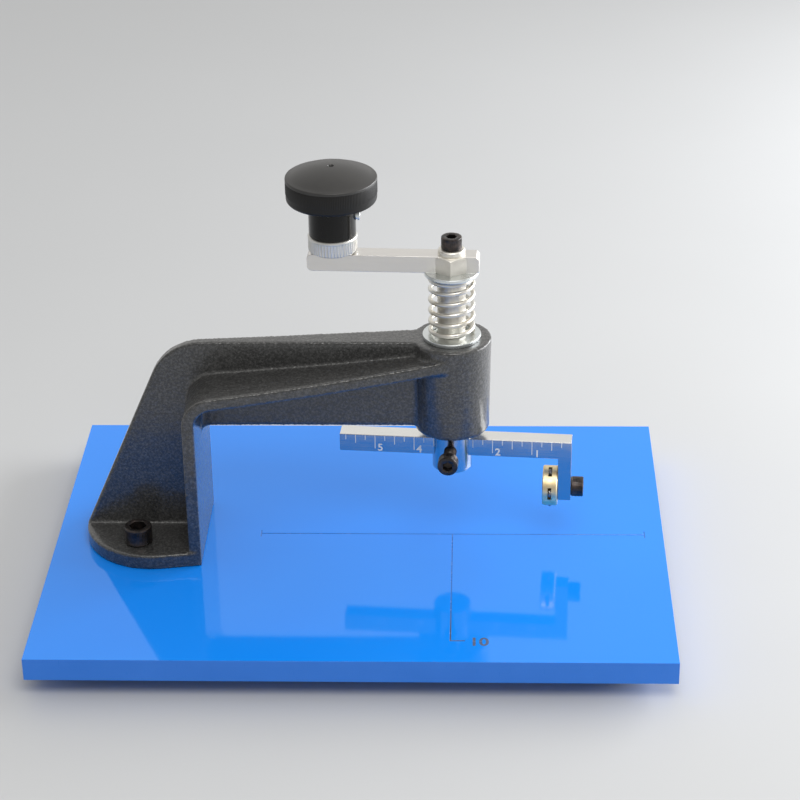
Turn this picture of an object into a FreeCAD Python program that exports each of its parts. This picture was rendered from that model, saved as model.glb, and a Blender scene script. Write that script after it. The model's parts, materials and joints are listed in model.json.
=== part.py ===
import FreeCAD, Part
import Sketcher
import math
import os

# Rotary circle glass cutter: a cast C-shaped arm on a flat plate carries a sprung vertical
# spindle.  A crank with a spinning knob turns the spindle; a graduated bar clamped across its
# lower end carries a turret of five cutting wheels.  Millimetres, +Z up.  The origin is under
# the middle of the plate, at the level that the rubber feet stand on.

Vector = FreeCAD.Vector
Rotation = FreeCAD.Rotation

doc = FreeCAD.newDocument("circle_glass_cutter")
sheet = doc.addObject("Spreadsheet::Sheet", "Dimensions")

DIMENSIONS = [
    # base plate and feet
    ("plate_length", 400), ("plate_width", 300), ("plate_thickness", 15),
    ("foot_height", 12), ("foot_radius", 14.5), ("foot_taper", 1),
    ("foot_x", 164), ("foot_y", 117), ("foot_screw_radius", 2.5),
    ("cross_reach", 127), ("line_width", 0.8), ("line_depth", 0.3), ("line_tick", 4), ("front_tick", 9),
    # spindle, boss and bushes
    ("spindle_x", 61), ("spindle_radius", 9),
    ("boss_bottom", 83), ("boss_top", 146), ("boss_low_radius", 24), ("boss_top_radius", 25.2),
    ("bush_radius", 12), ("bush_length", 20), ("running_gap", 0.05),
    ("spigot_radius", 7), ("spigot_length", 6),
    # arm casting
    ("arm_foot_radius", 46.2), ("arm_foot_x", -133.8), ("arm_foot_height", 10),
    ("strip_thickness", 8), ("strip_outer_x", -109), ("strip_half_width", 41.4),
    ("web_thin", 3.5), ("web_middle", 5.2), ("web_thick", 10), ("web_corner_x", -121.1),
    ("web_corner_z", 142.1), ("web_corner_radius", 36), ("web_slope", 66.15), ("web_fillet", 6),
    ("web_rise", 4.4), ("boss_fillet", 8),
    ("arm_bolt_x", -143), ("arm_bolt_y", 27), ("arm_bolt_radius", 6),
    # spring and its washers
    ("washer_thickness", 2.5), ("lower_washer_radius", 18.5), ("upper_washer_radius", 17.4),
    ("spring_length", 41.5), ("spring_radius", 14.9), ("spring_wire", 2.8), ("spring_pitch", 7.5),
    # crank
    ("crank_radius", 74), ("crank_yaw", -2.5), ("crank_left", 90), ("crank_right", 17.5),
    ("crank_depth", 12), ("crank_height", 11), ("hex_flats", 20.2),
    ("cap_radius", 8.5), ("cap_height", 3.5), ("clamp_screw_radius", 4),
    # knob
    ("collar_radius", 15.5), ("collar_height", 10.5), ("collar_foot", 1.5), ("collar_foot_radius", 12),
    ("neck_radius", 14.75), ("neck_height", 22), ("knob_radius", 28.5),
    ("knob_rim", 16), ("knob_crown", 7), ("stud_radius", 5), ("sleeve_radius", 8),
    # bar holder, scale bar and turret
    ("holder_radius", 12.7), ("holder_height", 30), ("bar_yaw", -4.5), ("bar_section", 12),
    ("bar_bottom", 63.5), ("bar_right", 77.5), ("bar_left", 72.5),
    ("leg_width", 8.5), ("leg_drop", 30.5), ("turret_z", 40.5), ("turret_radius", 13),
    ("turret_thickness", 9.6), ("wheel_ring", 11), ("wheel_radius", 3), ("wheel_thickness", 1.8),
    ("axle_radius", 0.75), ("slot_width", 2.4), ("slot_half_length", 4.2), ("turret_turn", 20),
]
for row, (alias, value) in enumerate(DIMENSIONS, start=1):
    sheet.set(f"A{row}", alias)
    sheet.set(f"B{row}", str(value))
    sheet.setAlias(f"B{row}", alias)
doc.recompute()


class Size:
    """A number that keeps the sheet expression it came from, so that features can be bound to it."""

    def __init__(self, value, text):
        self.value = float(value)
        self.text = text

    def mixed(self, other, sign, value, swap=False):
        first, second = (text_of(other), self.text) if swap else (self.text, text_of(other))
        return Size(value, f"({first} {sign} {second})")

    def __add__(self, other):
        return self.mixed(other, "+", self.value + number(other))

    def __radd__(self, other):
        return self.mixed(other, "+", number(other) + self.value, swap=True)

    def __sub__(self, other):
        return self.mixed(other, "-", self.value - number(other))

    def __rsub__(self, other):
        return self.mixed(other, "-", number(other) - self.value, swap=True)

    def __mul__(self, other):
        return self.mixed(other, "*", self.value * number(other))

    __rmul__ = __mul__

    def __truediv__(self, other):
        return self.mixed(other, "/", self.value / number(other))

    def __neg__(self):
        return self * -1


def number(amount):
    return amount.value if isinstance(amount, Size) else float(amount)


def text_of(amount):
    return amount.text if isinstance(amount, Size) else f"({float(amount)})"


def cosine(angle):
    return Size(math.cos(math.radians(number(angle))), f"cos({text_of(angle)} * 1 deg)")


def sine(angle):
    return Size(math.sin(math.radians(number(angle))), f"sin({text_of(angle)} * 1 deg)")


def bind(item, name, amount):
    """Set a property and, for a size from the sheet, bind it to its expression."""
    if "." not in name:
        setattr(item, name, number(amount))
    if isinstance(amount, Size):
        item.setExpression(name, amount.text)


def place(item, x=0, y=0, z=0, rotation=None):
    item.Placement = FreeCAD.Placement(Vector(number(x), number(y), number(z)), rotation or Rotation())
    for axis, amount in (("x", x), ("y", y), ("z", z)):
        bind(item, f"Placement.Base.{axis}", amount)
    return item


size = {alias: Size(value, f"Dimensions.{alias}") for alias, value in DIMENSIONS}
parts = {}


def keep(item, label):
    """Name a finished sub-part; its label is the name of its file."""
    item.Label = label
    parts[label] = item
    return item


# ---- sketches and bodies ---------------------------------------------------------------------

def pin(sketch, edge, end, axis, amount):
    """Hold one end of an edge at a coordinate of the sketch."""
    if abs(number(amount)) < 1e-9:
        sketch.addConstraint(Sketcher.Constraint("PointOnObject", edge, end, -2 if axis == "X" else -1))
        return
    index = sketch.addConstraint(Sketcher.Constraint(f"Distance{axis}", -1, 1, edge, end, number(amount)))
    if isinstance(amount, Size):
        sketch.setExpression(f"Constraints[{index}]", amount.text)


def hold_centre(sketch, edge, chord):
    """Fix an arc whose ends are held: its centre's height if the chord lies flat, else its X."""
    centre = sketch.Geometry[edge].Center
    if abs(chord.x) > abs(chord.y):
        pin(sketch, edge, 3, "Y", centre.y)
    else:
        pin(sketch, edge, 3, "X", centre.x)


def draw_outline(sketch, points, arcs=None):
    """A closed outline; arcs gives, for an edge's number, a point that the edge curves through."""
    arcs = arcs or {}
    first = sketch.GeometryCount
    corners = [Vector(number(x), number(y), 0) for x, y in points]
    ends = []
    for index, start in enumerate(corners):
        finish = corners[(index + 1) % len(corners)]
        forward = True
        curve = Part.LineSegment(start, finish)
        if index in arcs:
            # A sketch's arcs run anticlockwise, so a clockwise one is drawn from its far end.
            middle = Vector(*map(number, arcs[index]), 0)
            forward = (middle - start).cross(finish - middle).z > 0
            curve = Part.Arc(start, middle, finish) if forward else Part.Arc(finish, middle, start)
        sketch.addGeometry(curve)
        ends.append((1, 2) if forward else (2, 1))
    for index, (x, y) in enumerate(points):
        after = (index + 1) % len(points)
        joint = (first + index, ends[index][1], first + after, ends[after][0])
        sketch.addConstraint(Sketcher.Constraint("Coincident", *joint))
        pin(sketch, first + index, ends[index][0], "X", x)
        pin(sketch, first + index, ends[index][0], "Y", y)
        if index in arcs:
            hold_centre(sketch, first + index, corners[after] - corners[index])


def draw_circle(sketch, x, y, radius):
    circle = Part.Circle(Vector(number(x), number(y), 0), Vector(0, 0, 1), number(radius))
    edge = sketch.addGeometry(circle)
    pin(sketch, edge, 3, "X", x)
    pin(sketch, edge, 3, "Y", y)
    index = sketch.addConstraint(Sketcher.Constraint("Radius", edge, number(radius)))
    if isinstance(radius, Size):
        sketch.setExpression(f"Constraints[{index}]", radius.text)


def new_body(name):
    return doc.addObject("PartDesign::Body", name)


def new_sketch(body, plane, offset=0):
    """A sketch on one of the body's own origin planes, moved along that plane's normal."""
    sketch = body.newObject("Sketcher::SketchObject", f"{body.Name}_sketch")
    face = next(item for item in body.Origin.OriginFeatures if item.Role == plane)
    sketch.AttachmentSupport = [(face, "")]
    sketch.MapMode = "FlatFace"
    sketch.AttachmentOffset = FreeCAD.Placement(Vector(0, 0, number(offset)), Rotation())
    bind(sketch, "AttachmentOffset.Base.z", offset)
    return sketch


def pad(body, sketch, length, symmetric=False, backwards=False):
    feature = body.newObject("PartDesign::Pad", f"{body.Name}_pad")
    feature.Profile = sketch
    bind(feature, "Length", length)
    feature.Midplane = symmetric
    feature.Reversed = backwards
    doc.recompute()
    return feature


def pocket(body, sketch, depth, upwards=False, symmetric=False):
    """Cut a sketch into the body; stops if nothing was cut."""
    doc.recompute()
    before = body.Shape.Volume
    feature = body.newObject("PartDesign::Pocket", f"{body.Name}_pocket")
    feature.Profile = sketch
    bind(feature, "Length", depth)
    feature.Midplane = symmetric
    feature.Reversed = upwards
    doc.recompute()
    if body.Shape.Volume > before - 1e-3:
        raise SystemExit(f"{feature.Name} cuts nothing")
    return feature


def padded(name, plane, points, length, arcs=None, offset=0, symmetric=False):
    body = new_body(name)
    sketch = new_sketch(body, plane, offset)
    draw_outline(sketch, points, arcs)
    pad(body, sketch, length, symmetric)
    return body


def turned(name, points, arcs=None):
    """A body turned about its own Z axis from a half profile of (radius, height) points."""
    body = new_body(name)
    sketch = new_sketch(body, "XZ_Plane")
    draw_outline(sketch, points, arcs)
    feature = body.newObject("PartDesign::Revolution", f"{name}_turn")
    feature.Profile = sketch
    feature.ReferenceAxis = (sketch, ["V_Axis"])
    feature.Angle = 360
    doc.recompute()
    return body


def hexagon(flats, first_angle=0):
    """The six corners of a hexagon, given across its flats."""
    corner = flats / math.sqrt(3)
    angles = [math.radians(first_angle + 60 * side) for side in range(6)]
    return [(corner * math.cos(angle), corner * math.sin(angle)) for angle in angles]


def rectangle(x_low, x_high, y_low, y_high):
    return [(x_low, y_low), (x_high, y_low), (x_high, y_high), (x_low, y_high)]


def ring(name, inner, outer, height):
    return turned(name, rectangle(inner, outer, 0, height))


def socket_screw(name, shank, length, head, head_height, key_flats, bevel=0.6):
    """A socket-head screw whose head stands on Z = 0, its shank below."""
    body = turned(name, [
        (0, -length), (shank - bevel, -length), (shank, -length + bevel), (shank, 0), (head, 0),
        (head, head_height - bevel), (head - bevel, head_height), (0, head_height),
    ])
    key = new_sketch(body, "XY_Plane", head_height)
    draw_outline(key, hexagon(key_flats, 90))
    socket_share = 0.55
    pocket(body, key, head_height * socket_share)
    return body


def cylinder(name, radius, height, x=0, y=0, z=0):
    item = doc.addObject("Part::Cylinder", name)
    bind(item, "Radius", radius)
    bind(item, "Height", height)
    return place(item, x, y, z)


def joined(name, items):
    item = doc.addObject("Part::MultiFuse", name)
    item.Shapes = items
    item.Refine = True
    return item


def shared(name, items):
    item = doc.addObject("Part::MultiCommon", name)
    item.Shapes = items
    return item


def less(name, base, tool):
    item = doc.addObject("Part::Cut", name)
    item.Base = base
    item.Tool = tool
    item.Refine = True
    return item


def group(name, items):
    item = doc.addObject("Part::Compound", name)
    item.Links = items
    return item


def mirrored(item, normal):
    """The same piece on the other side of the plane through the origin with this normal."""
    copy = doc.addObject("Part::Mirroring", f"{item.Name}_mirror")
    copy.Source = item
    copy.Normal = normal
    return copy


def four_corners(name, item):
    """One piece at each corner of the plate, from the one in the +X +Y corner."""
    beside = mirrored(item, Vector(1, 0, 0))
    pair = group(f"{name}_pair", [item, beside])
    across = mirrored(pair, Vector(0, 1, 0))
    return group(name, [item, beside, across])


# ---- levels and places -----------------------------------------------------------------------

plate_top = size["foot_height"] + size["plate_thickness"]
spindle_x = size["spindle_x"]
gap = size["running_gap"]
spring_bottom = plate_top + size["boss_top"] + size["washer_thickness"]
upper_washer_bottom = spring_bottom + size["spring_length"]
crank_bottom = upper_washer_bottom + size["washer_thickness"]
crank_top = crank_bottom + size["crank_height"]
cap_top = crank_top + size["cap_height"]
knob_x = spindle_x - size["crank_radius"] * cosine(size["crank_yaw"])
knob_y = size["crank_radius"] * -1 * sine(size["crank_yaw"])
collar_top = crank_top + size["collar_foot"] + size["collar_height"]
thrust_gap = 0.3
bar_middle = plate_top + size["bar_bottom"] + size["bar_section"] / 2
holder_bottom = plate_top + size["boss_bottom"] - size["holder_height"]
casting_blank_height = plate_top + size["boss_top"] + 20
crank_turn = Rotation(Vector(0, 0, 1), number(size["crank_yaw"]))
bar_turn = Rotation(Vector(0, 0, 1), number(size["bar_yaw"]))


def on_bar(along, aside=0):
    """X and Y of a point given along the scale bar from the spindle and aside from it."""
    x = spindle_x + cosine(size["bar_yaw"]) * along - sine(size["bar_yaw"]) * aside
    y = sine(size["bar_yaw"]) * along + cosine(size["bar_yaw"]) * aside
    return x, y


# ---- base plate, feet and their screws -------------------------------------------------------

def make_base_plate():
    half_length = size["plate_length"] / 2
    half_width = size["plate_width"] / 2
    plate = padded("base_plate_body", "XY_Plane",
                   rectangle(-half_length, half_length, -half_width, half_width),
                   size["plate_thickness"], offset=size["foot_height"])
    bolt_holes = new_sketch(plate, "XY_Plane", plate_top)
    for side in (-1, 1):
        draw_circle(bolt_holes, size["arm_bolt_x"], size["arm_bolt_y"] * side, size["arm_bolt_radius"])
    pocket(plate, bolt_holes, size["plate_thickness"])
    screw_depth = 10
    screw_holes = new_sketch(plate, "XY_Plane", size["foot_height"])
    for x_side in (-1, 1):
        for y_side in (-1, 1):
            centre = (size["foot_x"] * x_side, size["foot_y"] * y_side)
            draw_circle(screw_holes, *centre, size["foot_screw_radius"])
    pocket(plate, screw_holes, screw_depth, upwards=True)
    # Setting lines under the spindle, which run left, right and forwards: the side lines end in
    # short cross ticks and the front one in a tick to the right.
    reach, tick, line = size["cross_reach"], size["line_tick"], size["line_width"]
    half_line = line / 2
    lines = new_sketch(plate, "XY_Plane", plate_top)
    right, left, front = spindle_x + reach, spindle_x - reach, -reach
    draw_outline(lines, [
        (left, -tick), (left + line, -tick), (left + line, -half_line),
        (spindle_x - half_line, -half_line), (spindle_x - half_line, front),
        (spindle_x + size["front_tick"], front), (spindle_x + size["front_tick"], front + line),
        (spindle_x + half_line, front + line), (spindle_x + half_line, -half_line),
        (right - line, -half_line), (right - line, -tick), (right, -tick), (right, tick),
        (right - line, tick), (right - line, half_line), (left + line, half_line),
        (left + line, tick), (left, tick),
    ])
    pocket(plate, lines, size["line_depth"])
    return keep(plate, "base_plate")


def make_feet():
    height, recess, recess_radius, hole = size["foot_height"], 6, 7.5, size["foot_screw_radius"]
    low_radius = size["foot_radius"] - size["foot_taper"]
    foot = turned("rubber_foot", [
        (recess_radius, 0), (low_radius, 0), (size["foot_radius"], height), (hole, height),
        (hole, recess), (recess_radius, recess),
    ])
    place(foot, size["foot_x"], size["foot_y"])
    washer_thickness, washer_radius = 1, 6.5
    washer = ring("foot_washer", hole, washer_radius, washer_thickness)
    place(washer, size["foot_x"], size["foot_y"], recess - washer_thickness)
    shank, head, head_height, key = 16, 4.5, 3, 3
    screw = socket_screw("foot_screw", hole, shank, head, head_height, key, bevel=0.5)
    upside_down = Rotation(Vector(1, 0, 0), 180)
    place(screw, size["foot_x"], size["foot_y"], recess - washer_thickness, upside_down)
    keep(four_corners("feet", foot), "rubber_feet")
    keep(four_corners("foot_washer_set", washer), "foot_washers")
    keep(four_corners("foot_screw_set", screw), "foot_screws")


# ---- arm casting -----------------------------------------------------------------------------

def tangent_point(centre_x, radius, x, y, turn):
    """Where a line from (x, y) touches a circle centred on the X axis; turn, 1 or -1, picks the side."""
    distance = math.hypot(x - centre_x, y)
    angle = math.atan2(y, x - centre_x) + turn * math.acos(radius / distance)
    return centre_x + radius * math.cos(angle), radius * math.sin(angle)


def make_arm_foot():
    """The foot flange: a round end whose straight sides run to the upright strip."""
    strip_inner = size["strip_outer_x"] + size["strip_thickness"]
    half_width = size["strip_half_width"]
    centre, radius = number(size["arm_foot_x"]), number(size["arm_foot_radius"])
    touch_x, touch_y = tangent_point(centre, radius, number(strip_inner), -number(half_width), -1)
    points = [(strip_inner, -half_width), (strip_inner, half_width), (touch_x, -touch_y), (touch_x, touch_y)]
    # The tangent lies left of the circle's own middle, so the arc runs round its left end.
    return padded("arm_foot", "XY_Plane", points, size["arm_foot_height"],
                  arcs={2: (size["arm_foot_x"] - size["arm_foot_radius"], 0)}, offset=plate_top)


def make_arm_web():
    """The upright web: its side outline, shared with its plan, which thickens towards the boss."""
    inside = size["strip_outer_x"] + size["strip_thickness"] / 2
    inner_face = size["strip_outer_x"] + size["strip_thickness"]
    boss_bottom, boss_top = plate_top + size["boss_bottom"], plate_top + size["boss_top"]
    corner_x, corner_z = number(size["web_corner_x"]), number(plate_top + size["web_corner_z"])
    steep = math.radians(number(size["web_slope"]))
    middle_boss, thick, blend = number(spindle_x), number(size["web_thick"]), number(size["boss_fillet"])
    boss_radius = number(size["boss_low_radius"])
    # In plan the web runs into the boss through a round on each side, of this middle and reach.
    reach_out, blend_y = boss_radius + blend, thick + blend
    blend_x = middle_boss - math.sqrt(reach_out ** 2 - blend_y ** 2)
    shallow = math.atan2(number(boss_top) - corner_z, blend_x - corner_x)
    radius = number(size["web_corner_radius"])
    reach = radius * math.tan((steep - shallow) / 2)
    outer = (corner_x - reach * math.cos(steep), corner_z - reach * math.sin(steep))
    upper = (corner_x + reach * math.cos(shallow), corner_z + reach * math.sin(shallow))
    # The round corner's middle lies on the line that halves the angle between its two sides.
    middle_turn = (steep + shallow) / 2
    depth = radius * (1 / math.cos((steep - shallow) / 2) - 1)
    crown = (corner_x + depth * math.sin(middle_turn), corner_z - depth * math.cos(middle_turn))
    foot_level, foot_top = plate_top + size["arm_foot_height"] / 2, plate_top + size["arm_foot_height"]
    foot_x = corner_x - (corner_z - number(foot_top)) / math.tan(steep)
    fillet = size["web_fillet"]
    round_middle = fillet * (1 - math.sqrt(0.5))
    side_depth = 40
    side = padded("web_side", "XZ_Plane", [
        (foot_x, foot_level), (foot_x, foot_top), outer, upper, (blend_x, boss_top),
        (spindle_x, boss_top), (spindle_x, boss_bottom + size["web_rise"]),
        (inner_face + fillet, boss_bottom), (inner_face, boss_bottom - fillet),
        (inside, boss_bottom - fillet), (inside, foot_level),
    ], side_depth, arcs={2: crown, 7: (inner_face + round_middle, boss_bottom - round_middle)},
        symmetric=True)
    thin, middle = size["web_thin"], size["web_middle"]
    far_left, thin_end, middle_x = -200, -100, -52
    touch_x = middle_boss - (middle_boss - blend_x) * boss_radius / reach_out
    touch_y = blend_y * boss_radius / reach_out
    half_turn = math.atan2(middle_boss - blend_x, blend_y) / 2
    round_x = blend_x + blend * math.sin(half_turn)
    round_y = blend_y - blend * math.cos(half_turn)
    plan = padded("web_plan", "XY_Plane", [
        (far_left, -thin), (thin_end, -thin), (middle_x, -middle), (blend_x, -thick), (touch_x, -touch_y),
        (spindle_x, -touch_y), (spindle_x, touch_y), (touch_x, touch_y), (blend_x, thick),
        (middle_x, middle), (thin_end, thin), (far_left, thin),
    ], casting_blank_height, arcs={3: (round_x, -round_y), 7: (round_x, round_y)})
    return shared("arm_web", [side, plan])


def make_arm_strip():
    """The cross flange: a strip that stands on the foot, bends and runs up to the boss."""
    outer_x, thickness = size["strip_outer_x"], size["strip_thickness"]
    bend_radius, bend_level, end_slope = 20, plate_top + 101, math.radians(5.6)
    bend_x = outer_x + bend_radius

    def around_bend(radius, angle):
        return bend_x - radius * math.cos(angle), bend_level + radius * math.sin(angle)

    inner_radius = bend_radius - thickness
    full, half = math.pi / 2 - end_slope, math.pi / 4
    # The strip's upper face rises in one long shallow arc through this middle point to the boss.
    rise_x, rise_z, rise_slope = -20, plate_top + 128.6, math.radians(7.1)
    end_z, boss_slope = plate_top + 140.2, math.radians(9.0)
    under_middle = (rise_x + thickness * math.sin(rise_slope), rise_z - thickness * math.cos(rise_slope))
    under_end = (spindle_x, end_z - thickness / math.cos(boss_slope))
    side_depth = 120
    side = padded("strip_side", "XZ_Plane", [
        (outer_x, plate_top), (outer_x, bend_level), around_bend(bend_radius, full), (spindle_x, end_z),
        under_end, around_bend(inner_radius, full), (outer_x + thickness, bend_level),
        (outer_x + thickness, plate_top),
    ], side_depth, arcs={1: around_bend(bend_radius, half), 2: (rise_x, rise_z), 4: under_middle,
                         5: around_bend(inner_radius, half)}, symmetric=True)
    half_width, far_left, shoulder_x, boss_radius = size["strip_half_width"], -120, -95, 24.8
    touch_x, touch_y = tangent_point(number(spindle_x), boss_radius, shoulder_x, -number(half_width), 1)
    plan = padded("strip_plan", "XY_Plane", [
        (far_left, -half_width), (shoulder_x, -half_width), (touch_x, touch_y), (touch_x, -touch_y),
        (shoulder_x, half_width), (far_left, half_width),
    ], casting_blank_height)
    return shared("arm_strip", [side, plan])


def make_arm_casting():
    boss_level = plate_top + size["boss_bottom"]
    boss_height = size["boss_top"] - size["boss_bottom"]
    boss = doc.addObject("Part::Cone", "boss")
    bind(boss, "Radius1", size["boss_low_radius"])
    bind(boss, "Radius2", size["boss_top_radius"])
    bind(boss, "Height", boss_height)
    place(boss, spindle_x, 0, boss_level)
    metal = joined("arm_metal", [make_arm_foot(), make_arm_web(), make_arm_strip(), boss])
    relief_gap, above_foot = 1.5, 12
    relief = cylinder("boss_relief", size["spindle_radius"] + relief_gap, boss_height,
                      spindle_x, 0, boss_level)
    bush_seats = [
        cylinder("lower_seat", size["bush_radius"], size["bush_length"], spindle_x, 0, boss_level),
        cylinder("upper_seat", size["bush_radius"], size["bush_length"],
                 spindle_x, 0, plate_top + size["boss_top"] - size["bush_length"]),
    ]
    bolt_holes = [
        cylinder("arm_bolt_hole", size["arm_bolt_radius"], size["arm_foot_height"] + above_foot,
                 size["arm_bolt_x"], size["arm_bolt_y"] * side, plate_top)
        for side in (-1, 1)
    ]
    casting = less("arm_casting_body", metal, joined("arm_bores", [relief] + bush_seats + bolt_holes))
    return keep(casting, "arm_casting")


def make_arm_fasteners():
    foot_top = plate_top + size["arm_foot_height"]
    radius, washer_thickness, washer_radius = size["arm_bolt_radius"], 2.5, 12
    length, head, head_height, key, nut_flats, nut_height = 35, 9, 12, 10, 18, 6
    bolt = socket_screw("arm_bolt", radius, length, head, head_height, key, bevel=0.9)
    place(bolt, size["arm_bolt_x"], size["arm_bolt_y"], foot_top)
    washer = ring("arm_washer", radius, washer_radius, washer_thickness)
    place(washer, size["arm_bolt_x"], size["arm_bolt_y"], size["foot_height"] - washer_thickness)
    nut = padded("arm_nut", "XY_Plane", hexagon(nut_flats), nut_height)
    bore = new_sketch(nut, "XY_Plane", nut_height)
    draw_circle(bore, 0, 0, radius)
    pocket(nut, bore, nut_height)
    nut_bottom = size["foot_height"] - washer_thickness - nut_height
    place(nut, size["arm_bolt_x"], size["arm_bolt_y"], nut_bottom)
    across = Vector(0, 1, 0)
    keep(group("arm_bolt_pair", [bolt, mirrored(bolt, across)]), "arm_bolts")
    keep(group("arm_washer_pair", [washer, mirrored(washer, across)]), "arm_washers")
    keep(group("arm_nut_pair", [nut, mirrored(nut, across)]), "arm_nuts")


def make_bushes():
    bore = size["spindle_radius"] + gap
    lower = ring("lower_bush_body", bore, size["bush_radius"], size["bush_length"])
    place(lower, spindle_x, 0, plate_top + size["boss_bottom"])
    upper = ring("upper_bush_body", bore, size["bush_radius"], size["bush_length"])
    place(upper, spindle_x, 0, plate_top + size["boss_top"] - size["bush_length"])
    keep(lower, "lower_bush")
    keep(upper, "upper_bush")


# ---- spindle, spring and crank ---------------------------------------------------------------

def make_washers():
    loose_fit = 0.5
    lower = ring("lower_washer_body", size["spindle_radius"] + loose_fit, size["lower_washer_radius"],
                 size["washer_thickness"])
    place(lower, spindle_x, 0, plate_top + size["boss_top"])
    upper = ring("upper_washer_body", size["spindle_radius"] + gap, size["upper_washer_radius"],
                 size["washer_thickness"])
    place(upper, spindle_x, 0, upper_washer_bottom)
    keep(lower, "lower_washer")
    keep(upper, "upper_washer")


def make_spring():
    wire, end_gap = size["spring_wire"] / 2, 0.1
    coil = size["spring_radius"] - wire
    first_level = spring_bottom + wire + end_gap
    helix = doc.addObject("Part::Helix", "spring_path")
    bind(helix, "Radius", coil)
    bind(helix, "Pitch", size["spring_pitch"])
    bind(helix, "Height", size["spring_length"] - size["spring_wire"] - end_gap * 2)
    place(helix, spindle_x, 0, first_level)
    section = doc.addObject("Part::Circle", "spring_section")
    bind(section, "Radius", wire)
    across_wire = Rotation(Vector(1, 0, 0), 90)
    place(section, spindle_x + coil, 0, first_level, across_wire)
    doc.recompute()
    sweep = doc.addObject("Part::Sweep", "spring_body")
    sweep.Sections = [section]
    sweep.Spine = (helix, [f"Edge{edge + 1}" for edge in range(len(helix.Shape.Edges))])
    sweep.Solid = True
    sweep.Frenet = True
    return keep(sweep, "return_spring")


def make_spindle():
    """The shaft with its hexagonal head, slotted for the crank arm, and its threaded lower end."""
    radius, spigot_radius = size["spindle_radius"], size["spigot_radius"]
    shoulder = plate_top + size["boss_bottom"]
    spigot_end = shoulder - size["spigot_length"]
    shaft = turned("spindle_shaft", [
        (0, spigot_end), (spigot_radius, spigot_end), (spigot_radius, shoulder), (radius, shoulder),
        (radius, crank_bottom), (0, crank_bottom),
    ])
    head = padded("spindle_head", "XY_Plane", hexagon(size["hex_flats"], 30), size["crank_height"],
                  offset=crank_bottom)
    slot = new_sketch(head, "XY_Plane", crank_top)
    half_slot, slot_reach = size["crank_depth"] / 2, 20
    draw_outline(slot, rectangle(-slot_reach, slot_reach, -half_slot, half_slot))
    pocket(head, slot, size["crank_height"])
    past_corner, inside_flat = 1, 0.6
    corner = size["hex_flats"] / math.sqrt(3) + past_corner
    crown = size["hex_flats"] / 2 - inside_flat
    chamfer_end = crank_top - (corner - crown) * math.tan(math.radians(30))
    chamfer = turned("head_chamfer", [
        (0, crank_bottom), (corner, crank_bottom), (corner, chamfer_end), (crown, crank_top), (0, crank_top),
    ])
    head = shared("chamfered_head", [head, chamfer])
    bore_depth = 25
    tapped = cylinder("spindle_thread", size["clamp_screw_radius"], bore_depth,
                      0, 0, crank_bottom - bore_depth)
    spindle = less("spindle_body", joined("spindle_metal", [shaft, head]), tapped)
    place(spindle, spindle_x, 0, 0, crank_turn)
    return keep(spindle, "spindle")


def make_crank():
    left, right = -size["crank_left"], size["crank_right"]
    corner, low_bevel, high_bevel = 3, 1, 2
    corner_middle = corner * (1 - math.sqrt(0.5))
    bar = padded("crank_bar", "XZ_Plane", [
        (left + corner, crank_bottom), (right - low_bevel, crank_bottom), (right, crank_bottom + low_bevel),
        (right, crank_top - high_bevel), (right - high_bevel, crank_top), (left + corner, crank_top),
        (left, crank_top - corner), (left, crank_bottom + corner),
    ], size["crank_depth"], arcs={5: (left + corner_middle, crank_top - corner_middle),
                                  7: (left + corner_middle, crank_bottom + corner_middle)}, symmetric=True)
    holes = new_sketch(bar, "XY_Plane", crank_top)
    draw_circle(holes, 0, 0, size["clamp_screw_radius"])
    draw_circle(holes, -size["crank_radius"], 0, size["clamp_screw_radius"])
    pocket(bar, holes, size["crank_height"])
    place(bar, spindle_x, 0, 0, crank_turn)
    keep(bar, "crank_arm")
    bevel = 0.8
    cap = turned("crank_cap_body", [
        (size["clamp_screw_radius"], 0), (size["cap_radius"], 0),
        (size["cap_radius"], size["cap_height"] - bevel),
        (size["cap_radius"] - bevel, size["cap_height"]), (size["clamp_screw_radius"], size["cap_height"]),
    ])
    place(cap, spindle_x, 0, crank_top)
    keep(cap, "crank_cap")
    screw_length, head, head_height, key = 35, 6.5, 8, 6
    screw = socket_screw("crank_screw_body", size["clamp_screw_radius"], screw_length, head, head_height, key)
    place(screw, spindle_x, 0, cap_top)
    keep(screw, "crank_screw")


# ---- knob ------------------------------------------------------------------------------------

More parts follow.
